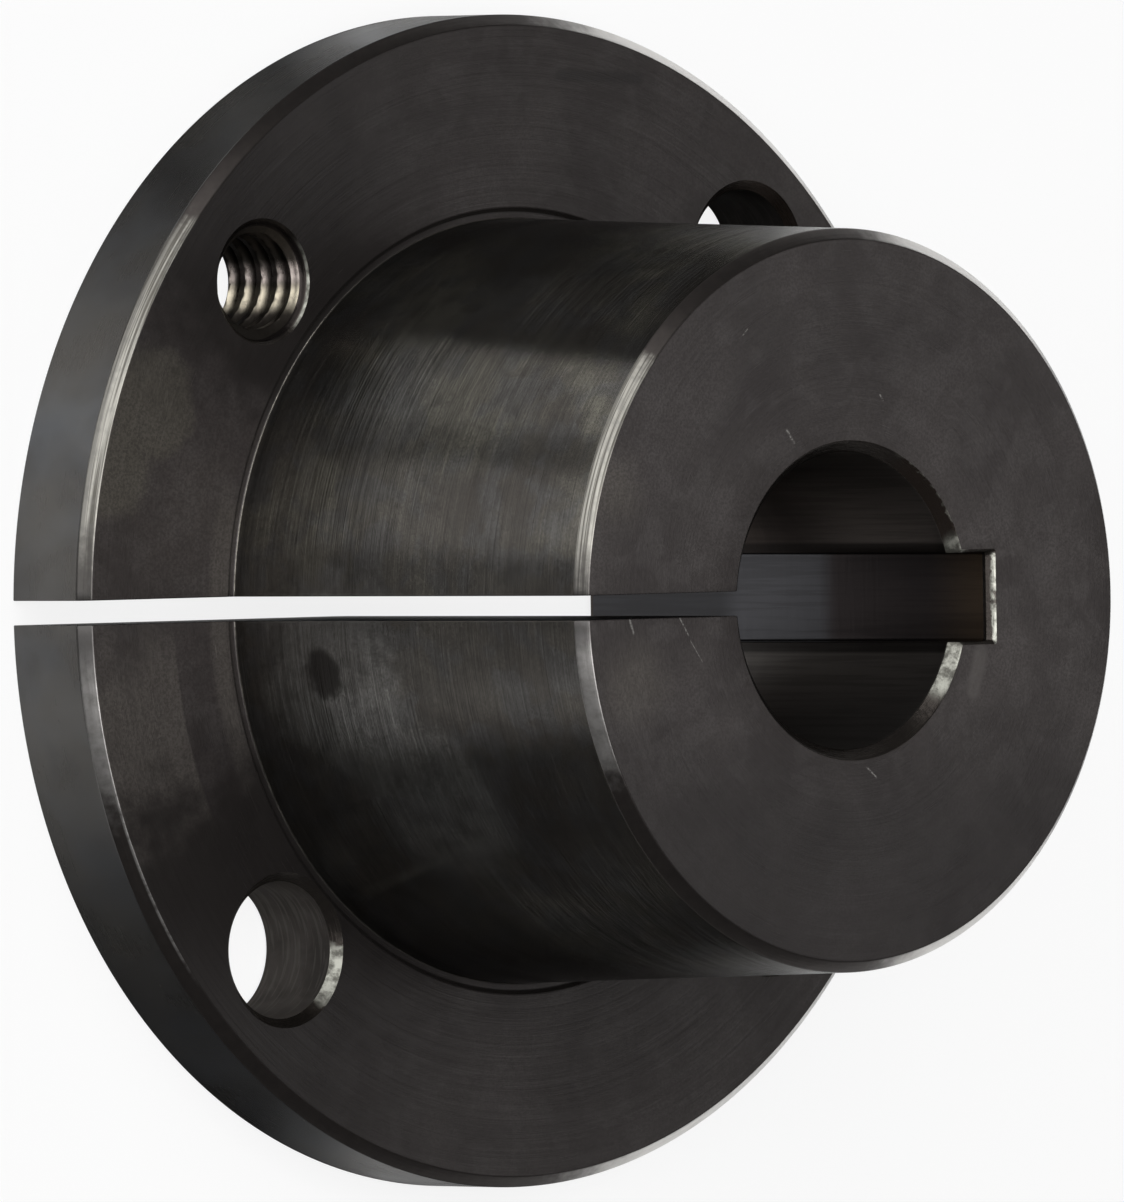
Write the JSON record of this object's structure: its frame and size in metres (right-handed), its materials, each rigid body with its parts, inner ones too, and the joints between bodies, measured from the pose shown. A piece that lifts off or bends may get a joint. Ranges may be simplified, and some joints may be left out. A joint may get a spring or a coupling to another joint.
{
  "type": "flanged split taper bushing",
  "caption": "Black steel bushing with a flange, a tapered split barrel, a keyed bore and plain and tapped flange holes.",
  "frame": {"origin": "centre of the bore on the flange's back face, which the part stands on", "axes": "+Z along the bore from the flange to the nose, +X towards the keyway, -X towards the slit"},
  "size_m": [0.0635, 0.0634, 0.0318],
  "materials": {
    "blackened_steel": "turned and black-oxidised, satin, with bare steel at the worn chamfers"
  },
  "bodies": {
    "root": {"bushing": "blackened_steel"}
  },
  "joints": []
}
